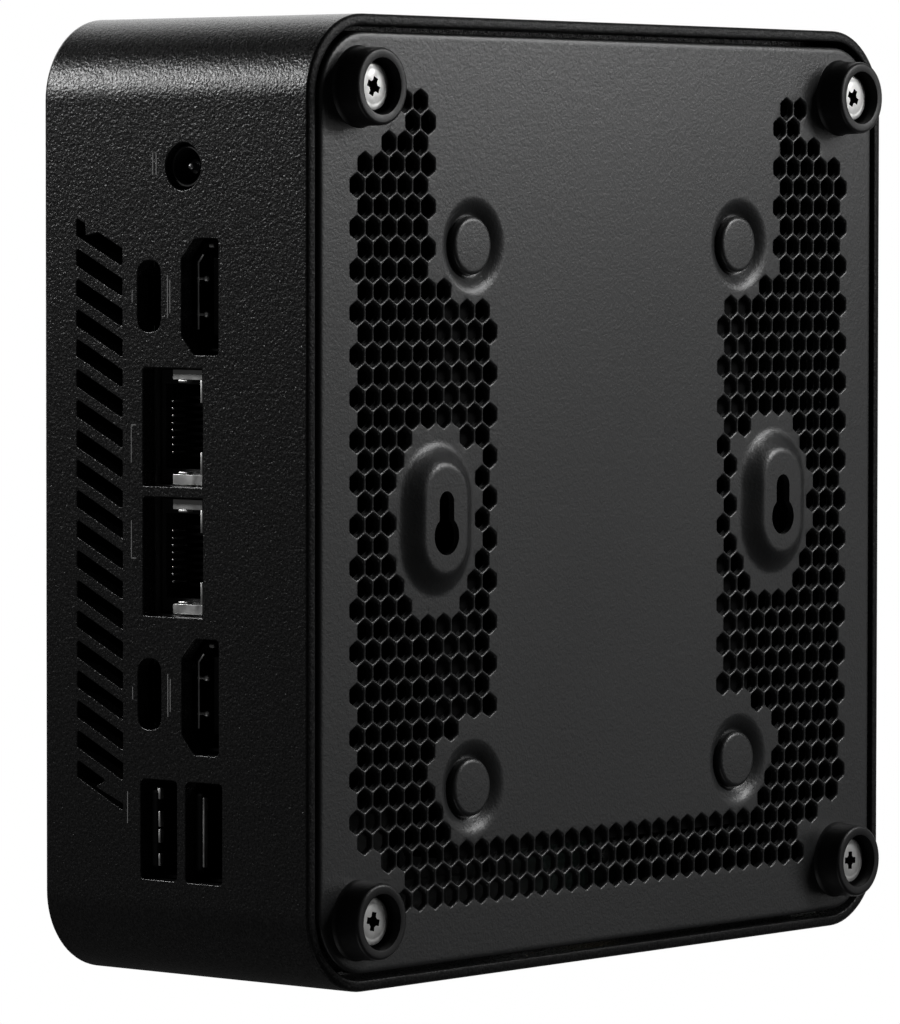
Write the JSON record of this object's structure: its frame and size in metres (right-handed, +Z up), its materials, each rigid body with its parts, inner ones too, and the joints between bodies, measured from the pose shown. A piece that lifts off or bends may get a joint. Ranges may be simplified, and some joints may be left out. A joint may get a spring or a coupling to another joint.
{
  "type": "mini pc",
  "caption": "Palm-sized desktop computer: rounded box housing with rear sockets and slanted exhaust slots, a honeycomb bottom cover on ring feet, and a fan-cooled board inside.",
  "frame": {"origin": "centre of the bounding box on the plane of the feet", "axes": "+Z up from the feet to the top, -Y to the front with the power button, +Y to the rear sockets, +X to the right seen from the front"},
  "size_m": [0.1356, 0.1324, 0.0544],
  "materials": {
    "housing_black": "fine-grained matt moulding",
    "cover_grey": "fine matt powder coat",
    "rubber": "matt",
    "steel": "bright",
    "brass": "turned",
    "aluminium": "satin",
    "copper": "satin copper",
    "board_green": "solder mask",
    "board_blue": "solder mask",
    "socket_black": "moulded",
    "fan_black": "moulded",
    "silicon": "smooth package",
    "ribbon": "flexible"
  },
  "bodies": {
    "housing": {"housing": "housing_black", "board_screw_front_left": "steel", "board_screw_front_right": "steel", "board_screw_rear_left": "steel", "board_screw_rear_right": "steel", "coin_cell": "steel", "button_switch": "steel", "video_socket_left": "steel", "video_socket_right": "steel", "type_c_socket_rear_left": "steel", "type_c_socket_rear_right": "steel", "lan_shield": "steel", "type_a_stack_rear": "steel", "type_a_socket_front_left": "steel", "type_a_socket_front_right": "steel", "type_c_socket_front": "steel", "insert_front_left": "brass", "insert_front_right": "brass", "insert_rear_left": "brass", "insert_rear_right": "brass", "storage_screw": "brass", "fin_stack": "aluminium", "cold_plate": "copper", "heat_pipe": "copper", "motherboard": "board_green", "wireless_card": "board_green", "memory_module_upper": "board_blue", "memory_module_lower": "board_blue", "storage_card": "board_blue", "power_socket": "socket_black", "video_socket_left_tongue": "socket_black", "video_socket_right_tongue": "socket_black", "lan_jack_left": "socket_black", "lan_jack_right": "socket_black", "type_a_tongue_rear_lower": "socket_black", "type_a_tongue_rear_upper": "socket_black", "type_a_socket_front_left_tongue": "socket_black", "type_a_socket_front_right_tongue": "socket_black", "audio_socket": "socket_black", "memory_socket": "socket_black", "fan_frame": "fan_black", "processor": "silicon"},
    "bottom_cover": {"bottom_cover": "cover_grey", "foot_front_left": "rubber", "foot_front_right": "rubber", "foot_rear_left": "rubber", "foot_rear_right": "rubber", "drive_stud_left_front": "cover_grey", "drive_stud_left_rear": "cover_grey", "drive_stud_right_front": "cover_grey", "drive_stud_right_rear": "cover_grey", "drive_tray": "steel", "drive": "aluminium", "drive_cable": "ribbon"},
    "cover_screw_front_left": {"cover_screw_front_left": "steel"},
    "cover_screw_front_right": {"cover_screw_front_right": "steel"},
    "cover_screw_rear_left": {"cover_screw_rear_left": "steel"},
    "cover_screw_rear_right": {"cover_screw_rear_right": "steel"},
    "power_button": {"power_button": "socket_black"},
    "fan_rotor": {"fan_rotor": "fan_black"}
  },
  "joints": [
    {"name": "cover_lift", "type": "slide", "parent": "housing", "child": "bottom_cover", "axis": [0, 0, -1], "range_m": [0, 0.06]},
    {"name": "screw_front_left_turn_out", "type": "slide", "parent": "bottom_cover", "child": "cover_screw_front_left", "axis": [0, 0, -1], "range_m": [0, 0.0045]},
    {"name": "screw_front_right_turn_out", "type": "slide", "parent": "bottom_cover", "child": "cover_screw_front_right", "axis": [0, 0, -1], "range_m": [0, 0.0045]},
    {"name": "screw_rear_left_turn_out", "type": "slide", "parent": "bottom_cover", "child": "cover_screw_rear_left", "axis": [0, 0, -1], "range_m": [0, 0.0045]},
    {"name": "screw_rear_right_turn_out", "type": "slide", "parent": "bottom_cover", "child": "cover_screw_rear_right", "axis": [0, 0, -1], "range_m": [0, 0.0045]},
    {"name": "power_press", "type": "slide", "parent": "housing", "child": "power_button", "axis": [0, 1, 0], "range_m": [0, 0.0006], "stiffness_N_per_m": 800},
    {"name": "fan_spin", "type": "hinge", "parent": "housing", "child": "fan_rotor", "pos_m": [-0.008, 0.011, 0.045], "axis": [0, 0, 1], "continuous": true}
  ]
}
